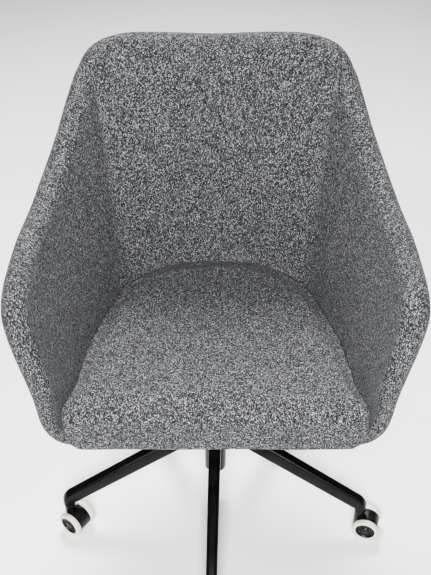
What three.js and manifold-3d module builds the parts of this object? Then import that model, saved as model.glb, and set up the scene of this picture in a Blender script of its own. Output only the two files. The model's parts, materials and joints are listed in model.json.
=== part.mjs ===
// A swivel tub chair: an upholstered tub and a loose seat cushion on a gas column, over a five-legged base
// that rolls on twin-wheel casters.
//
// Millimetres. The origin is on the floor under the swivel axis, +Z is up and the chair faces -Y.
import * as THREE from "three";
import { mergeVertices } from "three/addons/utils/BufferGeometryUtils.js";
import Module from "manifold-3d";

const wasm = await Module();
wasm.setup();

// ---------------------------------------------------------------------------------------------------------
// Driving dimensions
// ---------------------------------------------------------------------------------------------------------

const gap = 0.3; // between pieces that touch
const runningGap = 0.4; // between a shaft and the bore it turns or slides in
const skinGap = 1; // between the tub's skins, whose facets don't quite match

const tub = {
  width: 638, // over the arms
  backHeight: 867, // floor to the top of the back
  armHeight: 652, // floor to the top of the arms
  back: 255, // swivel axis to the middle of the back's rim
  front: 225, // swivel axis to the middle of the front lip
  footWidth: 484, // across the corner between wall and floor
  footBack: 203, // swivel axis to that corner under the back
  footFront: 197, // and under the front lip
  footRoll: 60, // length over which the floor curls up into the wall
  underside: 385, // floor to the bottom of the tub
  wall: 44, // wall and rim, cover to pad
  core: 10, // moulded core
  padFloor: 6.3, // pad under the cushion
  coverFloor: 8.3, // cover under the core
  wrap: 26, // how far the pad laps over the rim and down the outside
  coreBelowRim: 6, // core edge below the middle of the rim
  columns: 52, // facets around the tub
};

const cushion = {
  thickness: 47, // from its bed on the tub's pad to the flat top
  overhang: 11.5, // front face ahead of the tub's front lip
  frontRadius: 30, // top front edge
  frontWidth: 474, // between the arms' front edges
  dropInset: 3, // each side, on the part that hangs over the lip
  dropThickness: 9.8,
  dropAboveUnderside: 4,
  clearance: 1.5, // to the tub's pad
};

const cylinder = {
  radius: 14,
  wall: 3,
  bottom: 129,
  seal: 8, // around the rod
  taperLength: 42,
  taper: 1.2, // how much its radius shrinks over that length
  head: 18, // solid, over the pressure chamber
  belowTub: 27, // top of the cylinder under the tub
};
const bush = { wall: 2.2, length: 62, flange: 3 };
const tube = { wall: 1.8, bottom: 86, base: 5, rodHole: 6, belowSocket: 4 };
const hub = { wall: 2, bottom: 74, top: 222 };
const rod = { radius: 4, belowTube: 8, pistonBelowHead: 12, pistonLength: 12 };
const bearing = { radius: 14, height: 7 };
const clip = { radius: 9, thickness: 3, aboveRodEnd: 2.5 };
const pin = { radius: 3.5, inside: 6, outside: 8.5, boreBelow: 7 };

const base = {
  legs: 5,
  turnDeg: -1.5, // how the base stands under the seat at rest
};

const leg = {
  reach: 297, // swivel axis to the caster stem
  rootHeight: 191, // middle of the leg where it meets the hub
  slopeDeg: 22.9,
  rootDepth: 36, // section height at the hub
  elbowDepth: 29.5, // section height where the leg turns down
  footDepth: 21, // along the leg at the stem
  rootWidth: 23.5,
  footWidth: 19,
  bendRadius: 15, // middle line of the elbow
  bottom: 60, // floor to the end of the leg
};

const stem = { radius: 5.5, bottom: 42, inLeg: 20, groove: 0.8 };

const caster = {
  wheelRadius: 25, // over the tyre
  tyre: 6.5, // thickness of the tyre
  trail: 17, // stem axis to axle
  innerFace: 14, // middle of the caster to the inside of a wheel
  outerFace: 25, // middle of the caster to the outside of a wheel
  hoodInset: 3, // hood inside the tyre's tread
  housingGap: 0.6, // between housing and wheel
  floorClearance: 6.5, // under the housing
  bossWall: 4, // around the stem
  bossBelowLeg: 3,
  axleRadius: 3,
  trailDeg: [-20, -17, -15, -40, -36], // where each caster trails at rest, from the front leg round
};

const mount = {
  width: 190, // plate, across
  depth: 170, // plate, front to back
  plate: 4.5,
  socketWall: 7.7,
  socketBelowTub: 69,
  chamberRadius: 16, // room for the lever's tip
  chamberHeight: 20,
  slotWidth: 12, // where the lever passes the socket
  ribHeight: 34,
  ribLength: 44,
  ribThickness: 4,
  earThickness: 3,
};

const lever = {
  belowTub: 14, // underside of the tub to the rod over the valve
  radius: 4,
  pivot: 34, // swivel axis to the pivot
  sleeveWall: 3.7,
  sleeveLength: 13,
  pinRadius: 2.5,
  pinLength: 27,
  tip: 5, // rod past the swivel axis
  drop: 20, // handle below the rod
  reach: 238, // swivel axis to the end of the grip
  gripLength: 78,
  gripWall: 3.2,
  gripCap: 5, // closed end of the grip
};

const bolt = { radius: 3, spacingX: 150, spacingY: 124, headWidth: 10, headHeight: 4, length: 21 };

// Sizes and heights that follow from them. Heights are from the floor.
const bushBore = cylinder.radius + runningGap;
const tubeBore = bushBore + bush.wall + gap;
const tubeRadius = tubeBore + tube.wall;
const hubBore = tubeRadius + gap;
const hubRadius = hubBore + hub.wall;
const socketBore = cylinder.radius + gap;
const socketRadius = socketBore + mount.socketWall;
const socketBottom = tub.underside - mount.socketBelowTub;
const tubeTop = socketBottom - tube.belowSocket;
const cylinderTop = tub.underside - cylinder.belowTub;
const leverHeight = tub.underside - lever.belowTub;
const sleeveRadius = lever.pinRadius + gap + lever.sleeveWall;
const stemTop = leg.bottom + stem.inLeg;
const discRadius = caster.wheelRadius - caster.tyre;
const housingWidth = 2 * (caster.innerFace - caster.housingGap);
const axleLength = 2 * (caster.outerFace - 1);

// ---------------------------------------------------------------------------------------------------------
// Finishes
// ---------------------------------------------------------------------------------------------------------

const finishes = {
  fabric: { color: 0x5a5c66, roughness: 0.95, metalness: 0 },
  core: { color: 0x2b2c2e, roughness: 0.7, metalness: 0 },
  blackPaint: { color: 0x131416, roughness: 0.35, metalness: 0.2 },
  blackPlastic: { color: 0x1c1d1f, roughness: 0.5, metalness: 0 },
  tyre: { color: 0xd8cfc2, roughness: 0.6, metalness: 0 },
  chrome: { color: 0xc8cacc, roughness: 0.12, metalness: 1 },
  steel: { color: 0xa9adb0, roughness: 0.35, metalness: 1 },
  bushPlastic: { color: 0xe6e4dc, roughness: 0.5, metalness: 0 },
};

// ---------------------------------------------------------------------------------------------------------
// Solids
// ---------------------------------------------------------------------------------------------------------

// The solid inside a closed geometry.
function solid(geometry) {
  const bare = new THREE.BufferGeometry();
  bare.setAttribute("position", geometry.getAttribute("position"));
  bare.setIndex(geometry.getIndex());
  const merged = mergeVertices(bare, 1e-4);
  const corners = merged.getIndex().array;
  const triangles = [];
  for (let i = 0; i < corners.length; i += 3) {
    const triangle = [corners[i], corners[i + 1], corners[i + 2]];
    if (new Set(triangle).size === 3) triangles.push(...triangle);
  }
  const vertProperties = new Float32Array(merged.getAttribute("position").array);
  const mesh = new wasm.Mesh({ numProp: 3, vertProperties, triVerts: new Uint32Array(triangles) });
  return new wasm.Manifold(mesh);
}

// A named mesh of a solid, in a finish of its own.
function piece(name, body, finish) {
  const { vertProperties, triVerts } = body.getMesh();
  const geometry = new THREE.BufferGeometry();
  geometry.setAttribute("position", new THREE.BufferAttribute(vertProperties, 3));
  geometry.setIndex(new THREE.BufferAttribute(triVerts, 1));
  geometry.computeVertexNormals();
  const mesh = new THREE.Mesh(geometry, new THREE.MeshStandardMaterial(finishes[finish]));
  mesh.name = name;
  return mesh;
}

// Turned about the Z axis from an outline of [radius, height] points, up the outside and down the bore.
function turned(outline, facets = 24) {
  const points = outline.map(([radius, height]) => new THREE.Vector2(radius, height));
  return solid(new THREE.LatheGeometry(points, facets).rotateX(Math.PI / 2));
}

// An upright round bar from one height to another, with its axis through [x, y].
function bar(radius, bottom, top, [x, y] = [0, 0], facets = 24) {
  const round = new THREE.CylinderGeometry(radius, radius, top - bottom, facets).rotateX(Math.PI / 2);
  return solid(round.translate(x, y, (bottom + top) / 2));
}

// A round bar along Y, centred on y = 0.
function crossBar(radius, length, [x, z], facets = 24) {
  return solid(new THREE.CylinderGeometry(radius, radius, length, facets).translate(x, 0, z));
}

function block([x0, x1], [y0, y1], [z0, z1]) {
  const box = new THREE.BoxGeometry(x1 - x0, y1 - y0, z1 - z0);
  return solid(box.translate((x0 + x1) / 2, (y0 + y1) / 2, (z0 + z1) / 2));
}

// A side outline in X and Z, as thick along Y as stated and centred on y = 0.
function sidePlate(outline, thickness, curveSegments = 8) {
  const settings = { depth: thickness, bevelEnabled: false, curveSegments };
  const extruded = new THREE.ExtrudeGeometry(outline, settings);
  return solid(extruded.translate(0, 0, -thickness / 2).rotateX(Math.PI / 2));
}

// A closed solid through a row of rings, with flat ends. Seen from the last ring, each runs anticlockwise.
// A four-cornered patch is folded along its shorter diagonal, so that two skins side by side fold alike.
function loft(rings) {
  const around = rings[0].length;
  const total = (ring) => ring.reduce((sum, point) => sum.add(point), new THREE.Vector3());
  const middle = (ring) => total(ring).divideScalar(around);
  const points = [...rings.flat(), middle(rings[0]), middle(rings.at(-1))];
  const [firstMiddle, lastMiddle] = [points.length - 2, points.length - 1];
  const lastRing = around * (rings.length - 1);
  const index = [];
  for (let i = 0; i < around; i++) {
    const next = (i + 1) % around;
    index.push(firstMiddle, next, i, lastMiddle, lastRing + i, lastRing + next);
    for (let ring = 0; ring < lastRing; ring += around) {
      const [a, b, c, d] = [ring + i, ring + next, ring + around + next, ring + around + i];
      const foldsBD = points[b].distanceTo(points[d]) < points[a].distanceTo(points[c]);
      index.push(...(foldsBD ? [a, b, d, b, c, d] : [a, b, c, a, c, d]));
    }
  }
  return solid(new THREE.BufferGeometry().setFromPoints(points).setIndex(index));
}

const radians = THREE.MathUtils.degToRad;
const lerp = THREE.MathUtils.lerp;

// ---------------------------------------------------------------------------------------------------------
// Base: hub and bent legs
// ---------------------------------------------------------------------------------------------------------

function baseHub() {
  const edge = 1;
  return turned([
    [hubBore, hub.bottom],
    [hubRadius, hub.bottom],
    [hubRadius, hub.top - edge],
    [hubRadius - edge, hub.top],
    [hubBore, hub.top],
    [hubBore, hub.bottom],
  ], 28);
}

// One leg along +X. It slopes down from the hub, bends at the elbow and ends square over the caster.
function baseLeg() {
  const slope = radians(leg.slopeDeg);
  const turn = Math.PI / 2 - slope;
  const bendCentre = new THREE.Vector2(leg.reach - leg.bendRadius, 0);
  const lineHeight = (x) => leg.rootHeight - (x - hubRadius) * Math.tan(slope);
  const bendStart = leg.reach - leg.bendRadius * (1 - Math.sin(slope));
  bendCentre.y = lineHeight(bendStart) - leg.bendRadius * Math.cos(slope);

  const stations = [
    { x: hubRadius / 2, z: lineHeight(hubRadius / 2), pitch: slope, depth: leg.rootDepth, share: 0 },
    { x: bendStart, z: lineHeight(bendStart), pitch: slope, depth: leg.elbowDepth, share: 0.85 },
  ];
  const steps = 4;
  for (let step = 1; step <= steps; step++) {
    const pitch = slope + (turn * step) / steps;
    stations.push({
      x: bendCentre.x + leg.bendRadius * Math.sin(pitch),
      z: bendCentre.y + leg.bendRadius * Math.cos(pitch),
      pitch,
      depth: lerp(leg.elbowDepth, leg.footDepth, step / steps),
      share: lerp(0.85, 1, step / steps),
    });
  }
  stations.push({ x: leg.reach, z: leg.bottom, pitch: Math.PI / 2, depth: leg.footDepth, share: 1 });

  const body = loft(stations.map(legSection));
  const overHub = bar(hubRadius + gap, hub.bottom, leg.rootHeight + leg.rootDepth, [0, 0], 28);
  const stemBore = bar(stem.radius + runningGap, leg.bottom - 1, stemTop + 2, [leg.reach, 0], 16);
  return body.subtract(overHub).subtract(stemBore);
}

// A rounded rectangle across the leg, square to its slope.
function legSection({ x, z, pitch, depth, share }) {
  const facets = 16;
  const squareness = 0.6;
  const width = lerp(leg.rootWidth, leg.footWidth, share);
  const rounded = (value) => Math.sign(value) * Math.abs(value) ** squareness;
  return Array.from({ length: facets }, (_, i) => {
    const angle = (2 * Math.PI * i) / facets;
    const across = (rounded(Math.cos(angle)) * width) / 2;
    const up = (rounded(Math.sin(angle)) * depth) / 2;
    return new THREE.Vector3(x + up * Math.sin(pitch), across, z + up * Math.cos(pitch));
  });
}

// ---------------------------------------------------------------------------------------------------------
// Casters, each in a frame with its origin on the floor under the stem and the wheels trailing along +X
// ---------------------------------------------------------------------------------------------------------

function casterStem() {
  const chamfer = 1;
  const grooveTop = stemTop - 6;
  const grooveRadius = stem.radius - stem.groove;
  return turned([
    [0, stem.bottom],
    [stem.radius, stem.bottom],
    [stem.radius, grooveTop - 3],
    [grooveRadius, grooveTop - 2],
    [grooveRadius, grooveTop - 1],
    [stem.radius, grooveTop],
    [stem.radius, stemTop - chamfer],
    [stem.radius - chamfer, stemTop],
    [0, stemTop],
  ], 12);
}

// A hood between the wheels, cut off level above the floor, and a round boss that holds the stem.
function casterHousing() {
  const hoodRadius = caster.wheelRadius - caster.hoodInset;
  const cutAngle = Math.asin((caster.wheelRadius - caster.floorClearance) / hoodRadius);
  const hood = new THREE.Shape();
  hood.absarc(caster.trail, caster.wheelRadius, hoodRadius, -cutAngle, Math.PI + cutAngle, false);
  hood.closePath();
  const bossTop = leg.bottom - caster.bossBelowLeg;
  const boss = bar(stem.radius + caster.bossWall, caster.floorClearance + 4, bossTop, [0, 0], 16);
  const stemBore = bar(stem.radius + gap, stem.bottom - 1, bossTop + 1, [0, 0], 16);
  const axleAt = [caster.trail, caster.wheelRadius];
  const axleBore = crossBar(caster.axleRadius + gap, housingWidth + 2, axleAt, 12);
  return sidePlate(hood, housingWidth, 12).add(boss).subtract(stemBore).subtract(axleBore);
}

function casterAxle() {
  return crossBar(caster.axleRadius, axleLength, [caster.trail, caster.wheelRadius], 12);
}

// Turns a wheel or tyre, outlined as [radius, distance from the middle], onto the axle's +Y or -Y end.
function onAxle(outline, side, facets) {
  const turnedUp = turned(outline, facets);
  const upright = turnedUp.rotate([side * -90, 0, 0]);
  return upright.translate([caster.trail, 0, caster.wheelRadius]);
}

// A disc closed on its outer face, with a blind bore for the axle.
function casterWheel(side) {
  const rimEdge = 1.5;
  const crown = 0.8;
  const blindEnd = axleLength / 2 + gap;
  const bore = caster.axleRadius + runningGap;
  return onAxle([
    [0, blindEnd],
    [bore, blindEnd],
    [bore, caster.innerFace],
    [discRadius, caster.innerFace],
    [discRadius, caster.outerFace - rimEdge],
    [discRadius - rimEdge, caster.outerFace],
    [0, caster.outerFace + crown],
  ], side, 20);
}

function casterTyre(side) {
  const shoulder = 2.5;
  const bore = discRadius + gap;
  const { wheelRadius, innerFace, outerFace } = caster;
  return onAxle([
    [bore, innerFace],
    [wheelRadius - shoulder, innerFace],
    [wheelRadius, innerFace + shoulder],
    [wheelRadius, outerFace - shoulder],
    [wheelRadius - shoulder, outerFace],
    [bore, outerFace],
    [bore, innerFace],
  ], side, 24);
}

function casterUnit(number, trailDeg) {
  const group = new THREE.Group();
  const name = (part) => `caster_${number}_${part}`;
  group.add(
    piece(name("stem"), casterStem(), "steel"),
    piece(name("housing"), casterHousing(), "blackPlastic"),
    piece(name("axle"), casterAxle(), "steel"),
  );
  for (const [label, side] of [["left", 1], ["right", -1]]) {
    group.add(
      piece(name(`wheel_${label}`), casterWheel(side), "blackPlastic"),
      piece(name(`tyre_${label}`), casterTyre(side), "tyre"),
    );
  }
  group.rotation.z = radians(trailDeg);
  return group;
}

// ---------------------------------------------------------------------------------------------------------
// Gas column
// ---------------------------------------------------------------------------------------------------------

// The outer tube, pressed in the hub, with a floor that the rod's end passes through.
function columnTube() {
  return turned([
    [tube.rodHole, tube.bottom],
    [tubeRadius, tube.bottom],
    [tubeRadius, tubeTop],
    [tubeBore, tubeTop],
    [tubeBore, tube.bottom + tube.base],
    [tube.rodHole, tube.bottom + tube.base],
    [tube.rodHole, tube.bottom],
  ]);
}

// The guide bush in the tube's mouth, with a flange over its end.
function columnBush() {
  const outside = bushBore + bush.wall;
  const flangeBottom = tubeTop + gap;
  return turned([
    [bushBore, tubeTop - bush.length],
    [outside, tubeTop - bush.length],
    [outside, flangeBottom],
    [tubeRadius, flangeBottom],
    [tubeRadius, flangeBottom + bush.flange],
    [bushBore, flangeBottom + bush.flange],
    [bushBore, tubeTop - bush.length],
  ]);
}

// The pressure cylinder: a seal around the rod below, and above it a taper and the valve's bore.
function gasCylinder() {
  const inside = cylinder.radius - cylinder.wall;
  const rodSeal = rod.radius + runningGap;
  const sealTop = cylinder.bottom + cylinder.seal;
  const body = turned([
    [rodSeal, cylinder.bottom],
    [cylinder.radius, cylinder.bottom],
    [cylinder.radius, cylinderTop - cylinder.taperLength],
    [cylinder.radius - cylinder.taper, cylinderTop],
    [0, cylinderTop],
    [0, cylinderTop - cylinder.head],
    [inside, cylinderTop - cylinder.head],
    [inside, sealTop],
    [rodSeal, sealTop],
    [rodSeal, cylinder.bottom],
  ]);
  const boreBottom = cylinderTop - pin.inside - pin.boreBelow;
  return body.subtract(bar(pin.radius + runningGap, boreBottom, cylinderTop + 1, [0, 0], 16));
}

const rodBottom = tube.bottom - rod.belowTube;

// The rod, held at the bottom of the tube, with the piston inside the cylinder.
function pistonRod() {
  const piston = cylinder.radius - cylinder.wall - runningGap;
  const pistonTop = cylinderTop - cylinder.head - rod.pistonBelowHead;
  const pistonBottom = pistonTop - rod.pistonLength;
  return turned([
    [0, rodBottom],
    [rod.radius, rodBottom],
    [rod.radius, pistonBottom],
    [piston, pistonBottom],
    [piston, pistonTop],
    [0, pistonTop],
  ], 20);
}

// The thrust bearing, which carries the rod's load on the floor of the tube.
function thrustBearing() {
  const bottom = tube.bottom + tube.base + gap;
  const bore = rod.radius + gap;
  return turned([
    [bore, bottom],
    [bearing.radius, bottom],
    [bearing.radius, bottom + bearing.height],
    [bore, bottom + bearing.height],
    [bore, bottom],
  ]);
}

// The clip that keeps the rod's end from being drawn up through the tube's floor.
function columnClip() {
  const bottom = rodBottom + clip.aboveRodEnd;
  const bore = rod.radius + gap;
  return turned([
    [bore, bottom],
    [clip.radius, bottom],
    [clip.radius, bottom + clip.thickness],
    [bore, bottom + clip.thickness],
    [bore, bottom],
  ], 16);
}

function releasePin() {
  return bar(pin.radius, cylinderTop - pin.inside, cylinderTop + pin.outside, [0, 0], 16);
}

// ---------------------------------------------------------------------------------------------------------
// Seat mount and height lever
// ---------------------------------------------------------------------------------------------------------

const plateTop = tub.underside - gap;
const plateBottom = plateTop - mount.plate;
const chamberBottom = plateBottom - mount.chamberHeight;
const earOffset = lever.sleeveLength / 2 + 1; // middle of the chair to the inside of an ear

const boltPlaces = [[1, -1], [1, 1], [-1, 1], [-1, -1]].map(([sideX, sideY]) =>
  [(sideX * bolt.spacingX) / 2, (sideY * bolt.spacingY) / 2]);

function boltHoles(bottom, top) {
  return boltPlaces.map((place) => bar(bolt.radius + gap, bottom, top, place, 12));
}

const cutAll = (body, cutters) => cutters.reduce((left, cutter) => left.subtract(cutter), body);
const joinAll = (bodies) => bodies.reduce((joined, body) => joined.add(body));

// A plate under the tub, and a tapered socket below it that sits on the gas cylinder.
function seatMount() {
  const plate = block(
    [-mount.width / 2, mount.width / 2],
    [-mount.depth / 2, mount.depth / 2],
    [plateBottom, plateTop],
  );
  const socket = bar(socketRadius, socketBottom, plateTop - mount.plate / 2, [0, 0], 28);

  const rib = new THREE.Shape();
  rib.moveTo(socketRadius - 2, plateTop - mount.plate / 2);
  rib.lineTo(socketRadius - 2, plateBottom - mount.ribHeight);
  rib.lineTo(socketRadius + 2, plateBottom - mount.ribHeight);
  rib.lineTo(socketRadius + mount.ribLength, plateBottom - 3);
  rib.lineTo(socketRadius + mount.ribLength, plateTop - mount.plate / 2);
  rib.closePath();
  const ribs = [0, 90, -90].map((turn) => sidePlate(rib, mount.ribThickness).rotate([0, 0, turn]));

  const earLow = leverHeight - sleeveRadius - 1;
  const earReach = sleeveRadius + 1;
  const ears = [1, -1].map((side) => {
    const faces = [side * earOffset, side * (earOffset + mount.earThickness)].sort((a, b) => a - b);
    const across = [-lever.pivot - earReach, -lever.pivot + earReach];
    return block(across, faces, [earLow, plateTop - mount.plate / 2]);
  });

  const taper = turned([
    [0, socketBottom - 1],
    [socketBore, socketBottom - 1],
    [socketBore, cylinderTop - cylinder.taperLength],
    [socketBore - cylinder.taper, cylinderTop],
    [socketBore - cylinder.taper, chamberBottom + 1],
    [0, chamberBottom + 1],
  ]);
  const chamber = bar(mount.chamberRadius, chamberBottom, plateBottom, [0, 0], 24);
  const slot = block(
    [-socketRadius - 1, 0],
    [-mount.slotWidth / 2, mount.slotWidth / 2],
    [chamberBottom, plateBottom],
  );
  const pivotLength = 2 * (earOffset + mount.earThickness) + 2;
  const pivotHole = crossBar(lever.pinRadius + gap, pivotLength, [-lever.pivot, leverHeight], 12);
  return cutAll(joinAll([plate, socket, ...ribs, ...ears]), [
    taper, chamber, slot, pivotHole, ...boltHoles(plateBottom - 1, plateTop + 1),
  ]);
}

function mountBolt([x, y]) {
  const headTop = plateBottom - gap;
  const head = bar(bolt.headWidth / Math.sqrt(3), headTop - bolt.headHeight, headTop, [x, y], 6);
  return head.add(bar(bolt.radius, headTop - 1, headTop + bolt.length, [x, y], 12));
}

// The rod from over the valve, through its pivot sleeve, down and out to the grip.
const handleHeight = leverHeight - lever.drop;
const gripStart = lever.reach - lever.gripLength;

function heightLever() {
  const bendStart = lever.pivot + 14;
  const bendEnd = bendStart + 1.6 * lever.drop;
  const rodEnd = lever.reach - lever.gripCap - 1;
  const path = new THREE.CurvePath();
  const at = (x, z) => new THREE.Vector3(x, 0, z);
  path.add(new THREE.LineCurve3(at(lever.tip, leverHeight), at(-bendStart, leverHeight)));
  path.add(new THREE.CubicBezierCurve3(
    at(-bendStart, leverHeight),
    at(-(bendStart + bendEnd) / 2, leverHeight),
    at(-(bendStart + bendEnd) / 2, handleHeight),
    at(-bendEnd, handleHeight),
  ));
  path.add(new THREE.LineCurve3(at(-bendEnd, handleHeight), at(-rodEnd, handleHeight)));

  const section = new THREE.Shape();
  section.absarc(0, 0, lever.radius, 0, 2 * Math.PI, false);
  const sweep = { extrudePath: path, steps: 32, curveSegments: 6 };
  const rodSolid = solid(new THREE.ExtrudeGeometry(section, sweep));
  const pivotAt = [-lever.pivot, leverHeight];
  const sleeve = crossBar(sleeveRadius, lever.sleeveLength, pivotAt, 20);
  const pivotBore = crossBar(lever.pinRadius + gap, lever.sleeveLength + 2, pivotAt, 12);
  return rodSolid.add(sleeve).subtract(pivotBore);
}

function leverGrip() {
  const bore = lever.radius + gap;
  const outside = bore + lever.gripWall;
  const edge = 2.5;
  const along = turned([
    [0, lever.reach],
    [0, lever.reach - lever.gripCap],
    [bore, lever.reach - lever.gripCap],
    [bore, gripStart],
    [outside - edge, gripStart],
    [outside, gripStart + edge],
    [outside, lever.reach - edge],
    [outside - edge, lever.reach],
    [0, lever.reach],
  ], 20);
  return along.rotate([0, -90, 0]).translate([0, 0, handleHeight]);
}

function leverPivot() {
  return crossBar(lever.pinRadius, lever.pinLength, [-lever.pivot, leverHeight], 12);
}

// ---------------------------------------------------------------------------------------------------------
// Tub: three nested skins around one middle surface
// ---------------------------------------------------------------------------------------------------------

// Ribs from the middle of the back, forward along an arm, down its front edge and in to the middle of the
// front lip. Across is a share of the half width and forward a share of the way from back to front. A rim's
// level is 0 at the lip, 1 at the arm and 2 at the top of the back. Half is the rim's share of the full
// wall, and upright is 1 where there is a wall and 0 where there is only the floor's edge.
const ribs = [
  { rim: [0.0, 0.0, 2.0], foot: [0.0, 0.0], half: 1, upright: 1 },
  { rim: [0.32, 0.0, 2.012], foot: [0.36, 0.03], half: 1, upright: 1 },
  { rim: [0.535, 0.004, 2.0], foot: [0.53, 0.09], half: 1, upright: 1 },
  { rim: [0.668, 0.014, 1.93], foot: [0.66, 0.165], half: 1, upright: 1 },
  { rim: [0.735, 0.035, 1.79], foot: [0.745, 0.24], half: 1, upright: 1 },
  { rim: [0.78, 0.095, 1.645], foot: [0.8, 0.325], half: 1, upright: 1 },
  { rim: [0.845, 0.2, 1.405], foot: [0.84, 0.43], half: 1, upright: 1 },
  { rim: [0.942, 0.42, 1.118], foot: [0.88, 0.54], half: 1, upright: 1 },
  { rim: [1.0, 0.66, 1.0], foot: [0.925, 0.7], half: 1, upright: 1 },
  { rim: [1.0, 0.87, 0.875], foot: [0.955, 0.87], half: 1, upright: 1 },
  { rim: [0.898, 0.955, 0.38], foot: [0.955, 0.955], half: 0.8, upright: 1 },
  { rim: [0.84, 1.0, 0.08], foot: [0.95, 0.99], half: 0.52, upright: 0.6 },
  { rim: [0.67, 1.0, 0.0], foot: [0.8, 1.0], half: 0.56, upright: 0 },
  { rim: [0.0, 1.0, 0.0], foot: [0.0, 1.0], half: 0.56, upright: 0 },
];

const wallHalf = tub.wall / 2;
const floorHalf = (tub.padFloor + tub.core + tub.coverFloor) / 2;
const floorMiddle = tub.underside + floorHalf;
const rimLevels = [floorMiddle, tub.armHeight - wallHalf, tub.backHeight - wallHalf];

// The height of a rim level, which may lie a little past the top of the back.
function levelHeight(level) {
  const step = Math.min(Math.floor(level), 1);
  return lerp(rimLevels[step], rimLevels[step + 1], level - step);
}

const rimPoint = ({ rim: [across, forward, level] }) => new THREE.Vector3(
  across * (tub.width / 2 - wallHalf),
  lerp(tub.back, -tub.front, forward),
  levelHeight(level),
);
const footPoint = ({ foot: [across, forward] }) => new THREE.Vector3(
  (across * tub.footWidth) / 2,
  lerp(tub.footBack, -tub.footFront, forward),
  floorMiddle,
);

// A closed line through a point of every rib, out along the +X side and home along the -X side.
function aroundTub(pointOf) {
  const mirror = new THREE.Vector3(-1, 1, 1);
  const mirrored = ribs.slice(1, -1).reverse().map((rib) => pointOf(rib).multiply(mirror));
  return new THREE.CatmullRomCurve3([...ribs.map(pointOf), ...mirrored], true, "centripetal");
}

const rimLine = aroundTub(rimPoint);
const footLine = aroundTub(footPoint);
const floorCentre = new THREE.Vector3(0, (tub.footBack - tub.footFront) / 2, floorMiddle);

// A rib's value, half or upright, at u turns around the tub.
function ribValue(key, u) {
  const turn = u - Math.floor(u);
  const place = 2 * Math.min(turn, 1 - turn) * (ribs.length - 1);
  const before = Math.min(Math.floor(place), ribs.length - 2);
  return lerp(ribs[before][key], ribs[before + 1][key], place - before);
}

// The three points that shape the tub's section at u: where the floor starts to curl, the corner that the
// curl is drawn towards, and where the straight wall starts.
function section(u) {
  const turn = u - Math.floor(u);
  const rim = rimLine.getPoint(turn);
  const foot = footLine.getPoint(turn);
  const inward = tub.footRoll / foot.distanceTo(floorCentre);
  const upward = Math.min(tub.footRoll / foot.distanceTo(rim), 0.5);
  return {
    rim,
    foot,
    curlStart: foot.clone().lerp(floorCentre, inward),
    curlEnd: foot.clone().lerp(rim, upward),
  };
}

// The middle surface. t is 0 at the centre of the floor, 1 to 2 on the curl and 3 at the rim.
function middleSurface(u, t) {
  const { rim, foot, curlStart, curlEnd } = section(u);
  if (t < 1) return floorCentre.clone().lerp(curlStart, t);
  if (t < 2) return new THREE.QuadraticBezierCurve3(curlStart, foot, curlEnd).getPoint(t - 1);
  return curlEnd.lerp(rim, t - 2);
}

// Directions at a point of it: around the tub, in towards the sitter, and on past the rim.
function directions(u, t) {
  const step = 1e-3;
  const around = middleSurface(u + step, t).sub(middleSurface(u - step, t)).normalize();
  const along = middleSurface(u, Math.min(t + step, 3)).sub(middleSurface(u, t - step)).normalize();
  const inward = around.clone().cross(along).normalize();
  return { inward, onward: inward.clone().cross(around).normalize() };
}

// Offsets from the middle surface: the outer face, where cover meets core, where core meets pad, and the
// inner face.
function layers(u, t) {
  const rise = THREE.MathUtils.smoothstep(t, 1, 2.2);
  const upright = rise * ribValue("upright", u);
  const half = lerp(floorHalf, ribValue("half", u) * wallHalf, rise);
  const padSide = lerp(floorHalf - tub.padFloor, 0, upright);
  const core = lerp(tub.core, (tub.core * half) / wallHalf, upright);
  return { outside: -half, coverSide: padSide - core, padSide, inside: half };
}

// A row of points around the tub, at t and at one of those offsets plus an allowance.
function tubRow(tAt, face, allowance = 0) {
  return Array.from({ length: tub.columns }, (_, column) => {
    const u = column / tub.columns;
    const t = tAt(u);
    return middleSurface(u, t).addScaledVector(directions(u, t).inward, layers(u, t)[face] + allowance);
  });
}

// A row around the rolled rim, from 0 on the inside to 180 degrees on the outside.
function rimRow(angleDeg) {
  return Array.from({ length: tub.columns }, (_, column) => {
    const u = column / tub.columns;
    const { inward, onward } = directions(u, 3);
    const { inside } = layers(u, 3);
    return middleSurface(u, 3)
      .addScaledVector(inward, inside * Math.cos(radians(angleDeg)))
      .addScaledVector(onward, inside * Math.sin(radians(angleDeg)));
  });
}

// The place, as t, that lies a distance back from the rim, or a share of the straight wall if that is less.
function belowRim(u, distance, share, extra = 0) {
  const { rim, curlEnd } = section(u);
  const wallLength = rim.distanceTo(curlEnd);
  return 3 - (Math.min(distance, share * wallLength) + extra) / wallLength;
}

const wallPlaces = [1, 1.33, 1.67, 2, 2.45];
const climb = (face, allowance) => wallPlaces.map((t) => tubRow(() => t, face, allowance));
const descend = (face, allowance) => climb(face, allowance).reverse();
const wrapEnd = (u) => belowRim(u, tub.wrap, 0.45);
const coverEnd = (u) => belowRim(u, tub.wrap, 0.45, skinGap);
const coreEdge = (u) => belowRim(u, tub.coreBelowRim, 0.25);
const overCore = (u) => belowRim(u, tub.coreBelowRim, 0.25, -skinGap);

// The pad: the inner face, over the rim, a short way down the outside, and back along the core.
function tubPad() {
  return loft([
    ...climb("inside", 0),
    ...[0, 36, 72, 108, 144, 180].map(rimRow),
    tubRow(wrapEnd, "outside"),
    tubRow(wrapEnd, "coverSide", -skinGap / 2),
    tubRow(overCore, "coverSide", -skinGap / 2),
    tubRow(overCore, "padSide", skinGap / 2),
    ...descend("padSide", skinGap / 2),
  ]);
}

function tubCore() {
  const body = loft([
    ...climb("padSide", -skinGap / 2),
    tubRow(coreEdge, "padSide", -skinGap / 2),
    tubRow(coreEdge, "coverSide", skinGap / 2),
    tubRow(wrapEnd, "coverSide", skinGap / 2),
    ...descend("coverSide", skinGap / 2),
  ]);
  return cutAll(body, boltHoles(tub.underside, tub.underside + tub.coverFloor + tub.core));
}

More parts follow.
